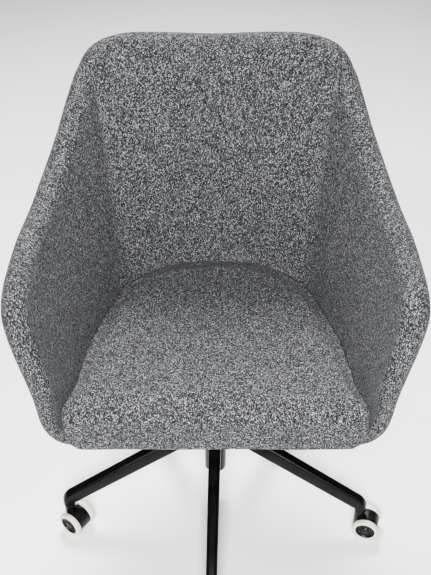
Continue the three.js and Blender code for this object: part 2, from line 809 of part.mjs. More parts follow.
function tubCover() {
  const body = loft([
    ...climb("coverSide", -skinGap / 2),
    tubRow(coverEnd, "coverSide", -skinGap / 2),
    tubRow(coverEnd, "outside"),
    ...descend("outside", 0),
  ]);
  return cutAll(body, boltHoles(tub.underside - 1, tub.underside + tub.coverFloor + 1));
}

// The cushion fills the tub's floor, held off the pad by its clearance, and its front drops over the lip.
function seatCushion() {
  const far = tub.width;
  const reach = 80;
  const onward = Array.from({ length: tub.columns }, (_, column) => {
    const u = column / tub.columns;
    const { inward, onward: past } = directions(u, 3);
    const lift = layers(u, 3).inside + cushion.clearance;
    return middleSurface(u, 3).addScaledVector(inward, lift).addScaledVector(past, reach);
  });
  const ceiling = onward.map(({ x, y }) => new THREE.Vector3(x, y, tub.backHeight + far));
  const cavity = loft([
    ...climb("inside", cushion.clearance),
    tubRow(() => 3, "inside", cushion.clearance),
    onward,
    ceiling,
  ].reverse());

  const bed = tub.underside + 2 * floorHalf + cushion.clearance;
  const top = bed + cushion.thickness;
  const front = tub.front + cushion.overhang + ribs.at(-1).half * wallHalf;
  const side = new THREE.Shape();
  side.moveTo(far, bed);
  side.lineTo(far, top);
  side.lineTo(-front + cushion.frontRadius, top);
  side.absarc(
    -front + cushion.frontRadius,
    top - cushion.frontRadius,
    cushion.frontRadius,
    Math.PI / 2,
    Math.PI,
    false,
  );
  side.lineTo(-front, bed);
  side.closePath();
  const slab = sidePlate(side, cushion.frontWidth, 6).rotate([0, 0, 90]);
  const dropHalf = cushion.frontWidth / 2 - cushion.dropInset;
  const drop = block(
    [-dropHalf, dropHalf],
    [-front, -front + cushion.dropThickness],
    [tub.underside + cushion.dropAboveUnderside, bed + 8],
  );
  return cavity.intersect(slab).add(drop);
}

// ---------------------------------------------------------------------------------------------------------
// The chair
// ---------------------------------------------------------------------------------------------------------

const chair = new THREE.Group();

chair.add(piece("base_hub", baseHub(), "blackPaint"));
for (let i = 0; i < base.legs; i++) {
  const arm = new THREE.Group();
  const heading = base.turnDeg - 90 + (i * 360) / base.legs;
  arm.rotation.z = radians(heading);
  arm.add(piece(`base_leg_${i + 1}`, baseLeg(), "blackPaint"));
  const unit = casterUnit(i + 1, caster.trailDeg[i] - heading);
  unit.position.x = leg.reach;
  arm.add(unit);
  chair.add(arm);
}

chair.add(
  piece("column_tube", columnTube(), "blackPaint"),
  piece("column_bush", columnBush(), "bushPlastic"),
  piece("gas_cylinder", gasCylinder(), "chrome"),
  piece("piston_rod", pistonRod(), "steel"),
  piece("thrust_bearing", thrustBearing(), "steel"),
  piece("column_clip", columnClip(), "steel"),
  piece("release_pin", releasePin(), "steel"),
);

chair.add(
  piece("seat_mount", seatMount(), "blackPaint"),
  piece("height_lever", heightLever(), "blackPaint"),
  piece("lever_grip", leverGrip(), "blackPlastic"),
  piece("lever_pivot", leverPivot(), "steel"),
);
boltPlaces.forEach((place, i) => chair.add(piece(`mount_bolt_${i + 1}`, mountBolt(place), "steel")));

chair.add(
  piece("tub_pad", tubPad(), "fabric"),
  piece("tub_core", tubCore(), "core"),
  piece("tub_cover", tubCover(), "fabric"),
  piece("seat_cushion", seatCushion(), "fabric"),
);

export default chair;
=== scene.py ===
"""The finished look of a swivel tub chair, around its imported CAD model. Metres, +Z up, facing -Y."""

import json
from math import atan2, cos, pi, radians, sin, tan

import bmesh
import bpy
import numpy as np
from mathutils import Matrix, Vector
from mathutils.bvhtree import BVHTree
from mathutils.noise import noise

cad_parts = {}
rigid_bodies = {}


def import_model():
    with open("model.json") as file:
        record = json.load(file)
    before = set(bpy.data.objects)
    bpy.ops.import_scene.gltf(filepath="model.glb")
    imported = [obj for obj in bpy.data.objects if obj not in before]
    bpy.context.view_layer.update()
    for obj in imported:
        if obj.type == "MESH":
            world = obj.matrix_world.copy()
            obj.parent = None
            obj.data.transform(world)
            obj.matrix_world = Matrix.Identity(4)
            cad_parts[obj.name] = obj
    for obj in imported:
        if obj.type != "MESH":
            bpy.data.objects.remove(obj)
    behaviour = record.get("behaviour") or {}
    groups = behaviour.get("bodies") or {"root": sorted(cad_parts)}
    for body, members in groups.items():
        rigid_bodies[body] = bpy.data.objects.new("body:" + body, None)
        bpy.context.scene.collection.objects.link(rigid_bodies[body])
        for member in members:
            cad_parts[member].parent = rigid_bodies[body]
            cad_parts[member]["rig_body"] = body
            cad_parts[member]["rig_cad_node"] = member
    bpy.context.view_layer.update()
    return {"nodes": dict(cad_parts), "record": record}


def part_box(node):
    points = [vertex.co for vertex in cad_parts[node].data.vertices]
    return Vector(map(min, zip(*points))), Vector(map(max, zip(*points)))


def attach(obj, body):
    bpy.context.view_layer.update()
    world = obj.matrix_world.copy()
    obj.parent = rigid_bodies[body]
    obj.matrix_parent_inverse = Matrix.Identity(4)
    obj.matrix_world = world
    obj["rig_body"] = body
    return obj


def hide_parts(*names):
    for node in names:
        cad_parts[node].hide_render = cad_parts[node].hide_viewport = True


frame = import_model()

# Base hub. A steel tube that the legs are welded to, with its lower lip rolled in and a rounded top.
# Powder-coated satin black with the legs: fine orange peel and a little dust.


class Value:
    """What a node gives. Sums with it add Math nodes."""

    def __init__(self, finish, socket):
        self.finish = finish
        self.socket = socket

    def maths(self, operation, *operands):
        return self.finish.node("ShaderNodeMath", {"operation": operation}, dict(enumerate(operands)))

    def __add__(self, other):
        return self.maths("ADD", self, other)

    def __sub__(self, other):
        return self.maths("SUBTRACT", self, other)

    def __rsub__(self, other):
        return self.maths("SUBTRACT", other, self)

    def __mul__(self, other):
        return self.maths("MULTIPLY", self, other)

    def __truediv__(self, other):
        return self.maths("DIVIDE", self, other)

    __radd__ = __add__
    __rmul__ = __mul__


class Finish:
    """A material with one shader. Its constants are set on the shader's own sockets."""

    def __init__(self, name, **constants):
        self.material = bpy.data.materials.new(name)
        self.material.use_nodes = True
        self.shader = self.material.node_tree.nodes["Principled BSDF"]
        for socket, value in constants.items():
            self.shader.inputs[socket.replace("_", " ")].default_value = value

    def node(self, kind, settings, sockets, output=0):
        made = self.material.node_tree.nodes.new(kind)
        stops = settings.pop("stops", ())
        for setting, value in settings.items():
            setattr(made, setting, value)
        for index, (position, colour) in enumerate(stops):
            if index >= len(made.color_ramp.elements):
                made.color_ramp.elements.new(position)
            made.color_ramp.elements[index].position = position
            made.color_ramp.elements[index].color = (*colour, 1)
        for socket, value in sockets.items():
            self.fill(made.inputs[socket], value)
        return Value(self, made.outputs[output])

    def fill(self, socket, value):
        if isinstance(value, Value):
            self.material.node_tree.links.new(value.socket, socket)
        else:
            socket.default_value = value

    def shade(self, **values):
        for socket, value in values.items():
            self.fill(self.shader.inputs[socket.replace("_", " ")], value)

    def place(self):
        return self.node("ShaderNodeTexCoord", {}, {}, "Object")

    def grain(self, size, detail=2.0, at=None):
        """Soft noise with features of that size."""
        sockets = {"Vector": at or self.place(), "Scale": 1 / size, "Detail": detail}
        return self.node("ShaderNodeTexNoise", {}, sockets)

    def ramp(self, factor, *stops):
        return self.node("ShaderNodeValToRGB", {"stops": stops}, {"Fac": factor})

    def mixed(self, factor, first, second):
        sockets = {0: factor, 6: first, 7: second}
        return self.node("ShaderNodeMix", {"data_type": "RGBA"}, sockets, 2)

    def relief(self, height, depth):
        return self.node("ShaderNodeBump", {}, {"Height": height, "Distance": depth, "Strength": 1.0})


powder_coat = Finish("satin_powder_coat", Specular_IOR_Level=0.3)
peel = powder_coat.grain(0.0012)
dust = powder_coat.grain(0.035, 5.0)
powder_coat.shade(
    Base_Color=powder_coat.ramp(dust, (0.35, (0.0045, 0.0045, 0.005)), (0.75, (0.011, 0.011, 0.012))),
    Roughness=dust * 0.12 + peel * 0.06 + 0.2,
    Normal=powder_coat.relief(peel, 0.00006),
)


def deselect():
    """Leaves edit mode with nothing selected, ready for a new primitive."""
    if bpy.context.object and bpy.context.object.mode == "EDIT":
        bpy.ops.object.mode_set(mode="OBJECT")
    bpy.ops.object.select_all(action="DESELECT")


def chosen(kind, test):
    """In edit mode, selects only the faces or edges whose middle and normal pass the test."""
    mesh = bmesh.from_edit_mesh(bpy.context.object.data)
    bpy.ops.mesh.select_all(action="DESELECT")
    bpy.ops.mesh.select_mode(type=kind)
    mesh.normal_update()
    if kind == "FACE":
        for face in mesh.faces:
            face.select_set(bool(test(face.calc_center_median(), face.normal)))
    else:
        for edge in mesh.edges:
            middle = (edge.verts[0].co + edge.verts[1].co) / 2
            edge.select_set(bool(test(middle, edge.verts[1].co - edge.verts[0].co)))
    mesh.select_flush_mode()
    bmesh.update_edit_mesh(bpy.context.object.data)


def modified(piece, kind, **settings):
    """Adds a modifier and applies it."""
    bpy.context.view_layer.objects.active = piece
    modifier = piece.modifiers.new(kind.lower(), kind)
    for setting, value in settings.items():
        setattr(modifier, setting, value)
    bpy.ops.object.modifier_apply(modifier=modifier.name)


def finished(piece, name, finish):
    """Puts the piece's place in its mesh, and gives it its name, normals, shading and finish."""
    deselect()
    piece.select_set(True)
    bpy.context.view_layer.objects.active = piece
    bpy.ops.object.transform_apply(location=True, rotation=True, scale=True)
    bpy.ops.object.mode_set(mode="EDIT")
    bpy.ops.mesh.select_all(action="SELECT")
    bpy.ops.mesh.remove_doubles(threshold=0.00002)
    bpy.ops.mesh.normals_make_consistent(inside=False)
    bpy.ops.object.mode_set(mode="OBJECT")
    bpy.ops.object.shade_smooth_by_angle(angle=radians(38))
    piece.name = name
    piece.data.name = name
    piece.data.materials.clear()
    piece.data.materials.append(finish.material)
    return piece


hub_low, hub_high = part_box("base_hub")
hub_radius = hub_high.x
hub_height = hub_high.z - hub_low.z
deselect()
bpy.ops.mesh.primitive_cylinder_add(
    vertices=72, radius=hub_radius, depth=hub_height, location=(0, 0, (hub_low.z + hub_high.z) / 2)
)
hub = bpy.context.object
bpy.ops.object.mode_set(mode="EDIT")
chosen("FACE", lambda middle, normal: normal.z < -0.9)
bpy.ops.mesh.inset(thickness=0.0022, depth=0)
bpy.ops.transform.translate(value=(0, 0, 0.006))
chosen("FACE", lambda middle, normal: normal.z > 0.9)
bpy.ops.mesh.inset(thickness=0.0022, depth=0)
bpy.ops.transform.translate(value=(0, 0, -0.003))
bpy.ops.object.mode_set(mode="OBJECT")
modified(hub, "BEVEL", width=0.0007, segments=3, limit_method="ANGLE", angle_limit=radians(40))
finished(hub, "hub", powder_coat)
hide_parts("base_hub")
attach(hub, "base")

# Legs. Each is a rounded steel bar that slopes down from the hub, tapers, and bends square over its caster.
# Pressed and bent in one piece, its root welded all round to the hub and coated with it.
leg_reach = Vector(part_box("caster_1_stem")[0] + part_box("caster_1_stem")[1]).xy.length / 2
leg_slope = radians(22.9)
leg_root_height = 0.191
leg_root_size = (0.0235, 0.036)
leg_elbow_size = (0.0197, 0.0295)
leg_foot_size = (0.019, 0.021)
leg_corner = 0.0075
elbow_radius = 0.015
leg_bottom = 0.060

elbow_start = leg_reach - elbow_radius * (1 - sin(leg_slope))
elbow_start_height = leg_root_height - (elbow_start - hub_radius) * tan(leg_slope)
root_height = leg_root_height + 0.004 * tan(leg_slope)
root = Vector((hub_radius - 0.004, 0, root_height))
deselect()
bpy.ops.mesh.primitive_plane_add(size=1, location=root, rotation=(0, pi / 2 + leg_slope, 0))
leg = bpy.context.object
leg.scale = (leg_root_size[1], leg_root_size[0], 1)
bpy.ops.object.transform_apply(location=True, rotation=True, scale=True)
bpy.ops.object.mode_set(mode="EDIT")
bpy.ops.mesh.select_all(action="SELECT")
bpy.ops.mesh.bevel(offset=leg_corner, segments=6, affect="VERTICES", profile=0.5)
bpy.ops.mesh.select_mode(type="FACE")
bpy.ops.mesh.select_all(action="SELECT")


def end_middle():
    """The middle of the face that is selected in edit mode."""
    mesh = bmesh.from_edit_mesh(bpy.context.object.data)
    points = [vertex.co for vertex in mesh.verts if vertex.select]
    return sum(points, Vector()) / len(points)


stretches = 6
run = (Vector((elbow_start, 0, elbow_start_height)) - root) / stretches
narrower = (leg_elbow_size[0] / leg_root_size[0]) ** (1 / stretches)
shallower = (leg_elbow_size[1] / leg_root_size[1]) ** (1 / stretches)
for _ in range(stretches):
    bpy.ops.mesh.extrude_region_move(TRANSFORM_OT_translate={"value": run})
    bpy.ops.transform.resize(value=(shallower, narrower, shallower), center_override=end_middle())
elbow_centre = Vector((
    elbow_start - elbow_radius * sin(leg_slope), 0, elbow_start_height - elbow_radius * cos(leg_slope)
))
bends = 10
shallower = (leg_foot_size[1] / leg_elbow_size[1]) ** (1 / bends)
narrower = (leg_foot_size[0] / leg_elbow_size[0]) ** (1 / bends)
for _ in range(bends):
    bpy.ops.mesh.spin(steps=1, angle=(leg_slope - pi / 2) / bends, center=elbow_centre, axis=(0, 1, 0))
    bpy.ops.transform.resize(value=(shallower, narrower, shallower), center_override=end_middle())
drop = end_middle().z - leg_bottom
bpy.ops.mesh.extrude_region_move(TRANSFORM_OT_translate={"value": (0, 0, -drop)})
bpy.ops.mesh.inset(thickness=0.0024, depth=0)
bpy.ops.transform.translate(value=(0, 0, 0.0015))
bpy.ops.object.mode_set(mode="OBJECT")

deselect()
bpy.ops.mesh.primitive_torus_add(
    location=(hub_radius, 0, root_height), rotation=(0, pi / 2, 0),
    major_radius=0.5, minor_radius=0.16, major_segments=56, minor_segments=10,
)
weld = bpy.context.object
weld.scale = (0.036, 0.0235, 0.016)
bpy.ops.object.transform_apply(location=True, rotation=True, scale=True)
for vertex in weld.data.vertices:
    ripple = 0.0003 * sin(900 * vertex.co.y + 700 * vertex.co.z)
    round_hub = hub_radius - (hub_radius ** 2 - min(abs(vertex.co.y), 0.018) ** 2) ** 0.5
    vertex.co.x += ripple - round_hub
weld.select_set(True)
leg.select_set(True)
bpy.context.view_layer.objects.active = leg
bpy.ops.object.join()
finished(leg, "leg", powder_coat)


def placed(piece, name, turn, at=(0, 0, 0)):
    """A copy with its own mesh, turned about the vertical through the origin and then moved."""
    copy = piece.copy()
    copy.data = piece.data.copy()
    copy.name = name
    copy.data.name = name
    copy.data.transform(Matrix.Translation(at) @ Matrix.Rotation(turn, 4, "Z"))
    bpy.context.scene.collection.objects.link(copy)
    return copy


def middle_of(node):
    low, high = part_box(node)
    return (low + high) / 2


stems = {number: middle_of(f"caster_{number}_stem") for number in range(1, 6)}
for number, stem in stems.items():
    each = placed(leg, f"leg_{number}", atan2(stem.y, stem.x))
    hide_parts(f"base_leg_{number}")
    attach(each, "base")
bpy.data.objects.remove(leg)

# Caster housings. Moulded black nylon, satin and faintly grained: a hood between the wheels, cut off level
# above the floor, and a round boss that snaps over the steel stem. All five are alike.
nylon = Finish("black_nylon", Specular_IOR_Level=0.45)
nylon_grain = nylon.grain(0.0006)
scuffs = nylon.grain(0.006, 6.0)
nylon.shade(
    Base_Color=nylon.ramp(scuffs, (0.4, (0.007, 0.0075, 0.008)), (0.8, (0.022, 0.022, 0.023))),
    Roughness=scuffs * 0.2 + nylon_grain * 0.1 + 0.26,
    Normal=nylon.relief(nylon_grain, 0.00004),
)
wheel_radius = 0.025
axle_trail = (middle_of("caster_1_axle") - stems[1]).xy.length
hood_radius = 0.022
hood_width = 0.0268
hood_floor = 0.0065
boss_radius = 0.0095
boss_top = 0.057

deselect()
bpy.ops.mesh.primitive_cylinder_add(
    vertices=64, radius=hood_radius, depth=hood_width,
    location=(axle_trail, 0, wheel_radius), rotation=(pi / 2, 0, 0),
)
housing = bpy.context.object
bpy.ops.object.transform_apply(location=True, rotation=True, scale=True)
bpy.ops.object.mode_set(mode="EDIT")
bpy.ops.mesh.select_all(action="SELECT")
bpy.ops.mesh.bisect(plane_co=(0, 0, hood_floor), plane_no=(0, 0, -1), use_fill=True, clear_outer=True)
chosen("FACE", lambda middle, normal: abs(normal.y) > 0.9)
bpy.ops.mesh.inset(thickness=0.0035, depth=-0.0012)
bpy.ops.object.mode_set(mode="OBJECT")
deselect()
bpy.ops.mesh.primitive_cylinder_add(
    vertices=48, radius=boss_radius, depth=boss_top - 0.012, location=(0, 0, (boss_top + 0.012) / 2)
)
boss = bpy.context.object
bpy.ops.object.transform_apply(location=True, rotation=True, scale=True)
bpy.ops.object.mode_set(mode="EDIT")
chosen("FACE", lambda middle, normal: normal.z > 0.9)
bpy.ops.mesh.inset(thickness=0.0025, depth=0)
bpy.ops.transform.translate(value=(0, 0, 0.0012))
bpy.ops.object.mode_set(mode="OBJECT")
modified(housing, "BOOLEAN", operation="UNION", solver="EXACT", object=boss)
bpy.data.objects.remove(boss)
modified(housing, "BEVEL", width=0.0011, segments=3, limit_method="ANGLE", angle_limit=radians(35))
finished(housing, "housing", nylon)

# Caster wheels. Two nylon discs to a caster, each dished, with a raised centre over the end of the axle
# and eight shallow ribs, pressed on the axle from either side.
disc_radius = 0.0185
disc_inner = 0.014
disc_outer = 0.025
deselect()
bpy.ops.mesh.primitive_cylinder_add(
    vertices=64, radius=disc_radius, depth=disc_outer - disc_inner,
    location=(axle_trail, (disc_outer + disc_inner) / 2, wheel_radius), rotation=(-pi / 2, 0, 0),
)
disc = bpy.context.object
bpy.ops.object.transform_apply(location=True, rotation=True, scale=True)
bpy.ops.object.mode_set(mode="EDIT")
chosen("FACE", lambda middle, normal: normal.y > 0.9)
for margin, sink in ((0.0022, 0.0), (0.0012, -0.0026), (0.0075, -0.0002), (0.0012, 0.0018), (0.0022, 0.0006)):
    bpy.ops.mesh.inset(thickness=margin, depth=0)
    bpy.ops.transform.translate(value=(0, sink, 0))
bpy.ops.object.mode_set(mode="OBJECT")
for index in range(8):
    angle = index * pi / 4
    arm = 0.0105
    deselect()
    bpy.ops.mesh.primitive_cube_add(
        size=1, rotation=(0, -angle, 0), scale=(0.009, 0.0016, 0.0012),
        location=(axle_trail + arm * cos(angle), disc_outer - 0.0027, wheel_radius + arm * sin(angle)),
    )
    rib = bpy.context.object
    modified(disc, "BOOLEAN", operation="UNION", solver="EXACT", object=rib)
    bpy.data.objects.remove(rib)
modified(disc, "BEVEL", width=0.0004, segments=2, limit_method="ANGLE", angle_limit=radians(40))
finished(disc, "disc", nylon)

# Tyres. Soft cream polyurethane, moulded round each disc, with rounded shoulders.
# Matte, a little grey with floor dust on the tread.
polyurethane = Finish("cream_polyurethane", Specular_IOR_Level=0.4, Subsurface_Weight=0.05)
grime = polyurethane.grain(0.004, 5.0)
pores = polyurethane.grain(0.0005)
polyurethane.shade(
    Base_Color=polyurethane.ramp(grime, (0.38, (0.6, 0.54, 0.46)), (0.66, (0.78, 0.71, 0.62))),
    Roughness=grime * 0.2 + 0.4,
    Normal=polyurethane.relief(pores, 0.00005),
)
deselect()
bpy.ops.mesh.primitive_cylinder_add(
    vertices=72, radius=wheel_radius, depth=disc_outer - disc_inner, end_fill_type="NOTHING",
    location=(axle_trail, (disc_outer + disc_inner) / 2, wheel_radius), rotation=(-pi / 2, 0, 0),
)
tyre = bpy.context.object
bpy.ops.object.transform_apply(location=True, rotation=True, scale=True)
bpy.ops.object.mode_set(mode="EDIT")
bpy.ops.mesh.select_all(action="SELECT")
bpy.ops.mesh.normals_make_consistent(inside=False)
bpy.ops.object.mode_set(mode="OBJECT")
modified(tyre, "SOLIDIFY", thickness=wheel_radius - disc_radius - 0.0001, offset=-1)
bpy.ops.object.mode_set(mode="EDIT")
chosen("EDGE", lambda middle, along: abs(along.y) < 1e-6 and Vector(
    (middle.x - axle_trail, middle.z - wheel_radius)).length > wheel_radius - 0.0003)
bpy.ops.mesh.bevel(offset=0.0034, segments=6, affect="EDGES", profile=0.5)
bpy.ops.object.mode_set(mode="OBJECT")
modified(tyre, "BEVEL", width=0.0005, segments=2, limit_method="ANGLE", angle_limit=radians(50))
finished(tyre, "tyre", polyurethane)


def other_side(piece, name):
    """A copy on the caster's other side, mirrored across its middle."""
    copy = placed(piece, name, 0)
    copy.data.transform(Matrix.Scale(-1, 4, (0, 1, 0)))
    copy.data.flip_normals()
    return copy


far_disc = other_side(disc, "far_disc")
far_tyre = other_side(tyre, "far_tyre")
for number, stem in stems.items():
    heading = (middle_of(f"caster_{number}_axle") - stem).xy
    turn = atan2(heading.y, heading.x)
    at = (stem.x, stem.y, 0)
    each = placed(housing, f"caster_housing_{number}", turn, at)
    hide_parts(f"caster_{number}_housing")
    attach(each, f"caster_{number}")
    left_of_heading = Vector((-heading.y, heading.x))
    for side in ("left", "right"):
        offset = (middle_of(f"caster_{number}_wheel_{side}") - stem).xy
        near = offset.dot(left_of_heading) > 0
        each = placed(disc if near else far_disc, f"caster_disc_{number}_{side}", turn, at)
        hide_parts(f"caster_{number}_wheel_{side}")
        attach(each, f"caster_{number}_{side}")
        each = placed(tyre if near else far_tyre, f"caster_tyre_{number}_{side}", turn, at)
        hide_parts(f"caster_{number}_tyre_{side}")
        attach(each, f"caster_{number}_{side}")
for pattern in (housing, disc, tyre, far_disc, far_tyre):
    bpy.data.objects.remove(pattern)

# Turned, pressed and drawn metal parts and their plastic ones: stems, axles, column, bush, seat mount,
# bolts, lever, grip and pins. Their shapes are the CAD's, with the edges eased and the rounds shaded smooth.
zinc = Finish("zinc_plated_steel", Metallic=1.0)
tarnish = zinc.grain(0.008, 5.0)
zinc.shade(
    Base_Color=zinc.ramp(tarnish, (0.3, (0.36, 0.38, 0.39)), (0.7, (0.52, 0.53, 0.52))),
    Roughness=tarnish * 0.25 + 0.22,
    Normal=zinc.relief(zinc.grain(0.0008), 0.00003),
)
chrome = Finish("hard_chrome", Metallic=1.0)
film = chrome.grain(0.03, 4.0)
chrome.shade(
    Base_Color=chrome.ramp(film, (0.3, (0.55, 0.57, 0.58)), (0.7, (0.64, 0.66, 0.67))),
    Roughness=film * 0.12 + 0.04,
    Normal=chrome.relief(chrome.grain(0.0015), 0.000005),
)
acetal = Finish("natural_acetal", Subsurface_Weight=0.1)
acetal_cloud = acetal.grain(0.01)
acetal.shade(
    Base_Color=acetal.ramp(acetal_cloud, (0.3, (0.72, 0.7, 0.64)), (0.7, (0.8, 0.78, 0.72))),
    Roughness=acetal_cloud * 0.15 + 0.35,
    Normal=acetal.relief(acetal.grain(0.0007), 0.00003),
)
moulding = Finish("moulded_core")
moulding_cloud = moulding.grain(0.02)
moulding.shade(
    Base_Color=moulding.ramp(moulding_cloud, (0.3, (0.02, 0.021, 0.023)), (0.7, (0.03, 0.031, 0.034))),
    Roughness=moulding_cloud * 0.2 + 0.5,
    Normal=moulding.relief(moulding.grain(0.002), 0.0001),
)
finish_of_slot = {
    "black_paint": powder_coat,
    "black_plastic": nylon,
    "zinc_steel": zinc,
    "chrome": chrome,
    "bush_plastic": acetal,
    "moulded_core": moulding,
}
slot_of_node = {part["node"]: part["material_slot"] for part in frame["record"]["subparts"]}
body_of_node = {
    node: body for body, nodes in frame["record"]["behaviour"]["bodies"].items() for node in nodes
}
eased_nodes = [
    "column_tube", "column_bush", "gas_cylinder", "thrust_bearing", "column_clip", "piston_rod",
    "seat_mount", "height_lever", "lever_grip", "lever_pivot",
    *[f"mount_bolt_{number}" for number in range(1, 5)],
    *[f"caster_{number}_stem" for number in range(1, 6)],
]
for node, cad in frame["nodes"].items():
    slot = slot_of_node[node]
    if slot not in finish_of_slot:
        continue
    cad.data.materials.clear()
    cad.data.materials.append(finish_of_slot[slot].material)
    if node in eased_nodes:
        copy = cad.copy()
        copy.data = cad.data.copy()
        copy.parent = None
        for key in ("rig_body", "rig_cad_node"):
            del copy[key]
        bpy.context.scene.collection.objects.link(copy)
        deselect()
        copy.select_set(True)
        bpy.context.view_layer.objects.active = copy
        bpy.ops.object.mode_set(mode="EDIT")
        bpy.ops.mesh.select_all(action="SELECT")
        bpy.ops.mesh.remove_doubles(threshold=0.00001)
        bpy.ops.mesh.dissolve_limited(angle_limit=radians(1))
        bpy.ops.object.mode_set(mode="OBJECT")
        modified(copy, "BEVEL", width=0.0003, segments=2, limit_method="ANGLE", angle_limit=radians(45))
        finished(copy, f"{node}_eased", finish_of_slot[slot])
        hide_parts(node)
        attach(copy, body_of_node[node])

# Upholstery cloth. A plain weave of melange yarns, dark slate with pale and near-black flecks spun in,
# matte, with a short fuzz that lightens it where it turns away.
yarn = 0.0011
cloth = Finish(
    "melange_weave", Sheen_Weight=0.08, Sheen_Roughness=0.5, Sheen_Tint=(0.8, 0.81, 0.85, 1),
    Specular_IOR_Level=0.15,
)
lay = cloth.node("ShaderNodeAttribute", {"attribute_name": "lay"}, {}, "Vector")
warp_way = cloth.node("ShaderNodeSeparateXYZ", {}, {0: lay}, 0) / yarn
weft_way = cloth.node("ShaderNodeSeparateXYZ", {}, {0: lay}, 1) / yarn
warp_number = warp_way.maths("FLOOR", warp_way)
weft_number = weft_way.maths("FLOOR", weft_way)
weft_on_top = warp_way.maths("FLOORED_MODULO", warp_number + weft_number, 2.0)


def flecks(number, along, seed):
    """A chance tone for each short run of a yarn."""
    run = along.maths("FLOOR", along * 0.8)
    at = cloth.node("ShaderNodeCombineXYZ", {}, {0: number + seed, 1: run, 2: seed})
    return cloth.node("ShaderNodeTexWhiteNoise", {}, {"Vector": at})


warp_flecks = flecks(warp_number, weft_way, 0.5)
weft_flecks = flecks(weft_number, warp_way, 40.5)
fleck = warp_flecks + weft_on_top * (weft_flecks - warp_flecks)
spun = cloth.ramp(
    fleck,
    (0.0, (0.0115, 0.012, 0.0135)),
    (0.35, (0.031, 0.032, 0.035)),
    (0.6, (0.067, 0.068, 0.073)),
    (0.85, (0.155, 0.157, 0.162)),
    (1.0, (0.400, 0.403, 0.402)),
)
pillow = (warp_way * pi).maths("SINE", warp_way * pi) * (weft_way * pi).maths("SINE", weft_way * pi)
crown = pillow.maths("ABSOLUTE", pillow)
# Painted shade: where the cushion's side meets the tub wall, the cloth's colour is mixed to near-black,
# standing in for the shade in that gap.
joint = cloth.node("ShaderNodeAttribute", {"attribute_name": "joint"}, {}, "Fac")
cloth.shade(
    Base_Color=cloth.mixed(joint, spun, (0.003, 0.003, 0.004, 1)),
    Roughness=fleck * 0.2 + 0.75,
    Normal=cloth.relief(crown, 0.0002),
)

# Tub. A moulded core between two skins of foam, closely covered: the inside skin laps over the rim and
# down the outside, where a blind seam joins it to the outside skin. No folds, and only a soft unevenness.

# A rib's rim across, forward and level, its foot across and forward, share of the full wall, and uprightness,
# from the middle of the back, along an arm, down its front and in to the middle of the lip.
tub_ribs = np.array((
    (0.0, 0.0, 2.0, 0.0, 0.0, 1, 1),
    (0.32, 0.0, 2.012, 0.36, 0.03, 1, 1),
    (0.535, 0.004, 2.0, 0.53, 0.09, 1, 1),
    (0.668, 0.014, 1.93, 0.66, 0.165, 1, 1),
    (0.735, 0.035, 1.79, 0.745, 0.24, 1, 1),
    (0.78, 0.095, 1.645, 0.8, 0.325, 1, 1),
    (0.845, 0.2, 1.405, 0.84, 0.43, 1, 1),
    (0.942, 0.42, 1.118, 0.88, 0.54, 1, 1),
    (1.0, 0.66, 1.0, 0.925, 0.7, 1, 1),
    (1.0, 0.87, 0.875, 0.955, 0.87, 1, 1),
    (0.898, 0.955, 0.38, 0.955, 0.955, 0.8, 1),
    (0.84, 1.0, 0.08, 0.95, 0.99, 0.52, 0.6),
    (0.67, 1.0, 0.0, 0.8, 1.0, 0.56, 0),
    (0.0, 1.0, 0.0, 0.0, 1.0, 0.56, 0),
))
tub_half_width = 0.319
tub_back, tub_front = 0.255, 0.225
foot_half_width = 0.242
foot_back, foot_front = 0.203, 0.197
floor_roll = 0.060
underside = 0.385
half_wall = 0.022
half_floor = 0.0123
floor_middle = underside + half_floor
rim_heights = (floor_middle, 0.652 - half_wall, 0.867 - half_wall)
across, forward, level = tub_ribs[:, 0], tub_ribs[:, 1], tub_ribs[:, 2]
climbs = np.minimum(np.floor(level), 1).astype(int)
rim_points = np.stack((
    across * (tub_half_width - half_wall),
    tub_back - forward * (tub_back + tub_front),
    np.array([rim_heights[step] + (rim_heights[step + 1] - rim_heights[step]) * (at - step)
              for step, at in zip(climbs, level)]),
), axis=1)
foot_points = np.stack((
    tub_ribs[:, 3] * foot_half_width,
    foot_back - tub_ribs[:, 4] * (foot_back + foot_front),
    np.full(len(tub_ribs), floor_middle),
), axis=1)
floor_centre = np.array((0.0, (foot_back - foot_front) / 2, floor_middle))


def around_tub(points, turns):
    """Places on a smooth closed line through the ribs' points and their mirror images."""
    closed = np.concatenate((points, points[-2:0:-1] * (-1, 1, 1)))
    place = (turns % 1) * len(closed)
    index = np.floor(place).astype(int)
    share = (place - index)[:, None]
    p0, p1, p2, p3 = (closed[(index + shift) % len(closed)] for shift in (-1, 0, 1, 2))
    s0, s1, s2 = (np.sqrt(np.linalg.norm(b - a, axis=1))[:, None] for a, b in ((p0, p1), (p1, p2), (p2, p3)))
    start = ((p1 - p0) / s0 - (p2 - p0) / (s0 + s1) + (p2 - p1) / s1) * s1
    end = ((p2 - p1) / s1 - (p3 - p1) / (s1 + s2) + (p3 - p2) / s2) * s1
    return (p1 + start * share + (3 * (p2 - p1) - 2 * start - end) * share ** 2
            + (2 * (p1 - p2) + start + end) * share ** 3)


def rib_share(column, turns):
    """A rib's wall or upright share at places around the tub."""
    turn = turns % 1
    place = 2 * np.minimum(turn, 1 - turn) * (len(tub_ribs) - 1)
    return np.interp(place, np.arange(len(tub_ribs)), tub_ribs[:, column])


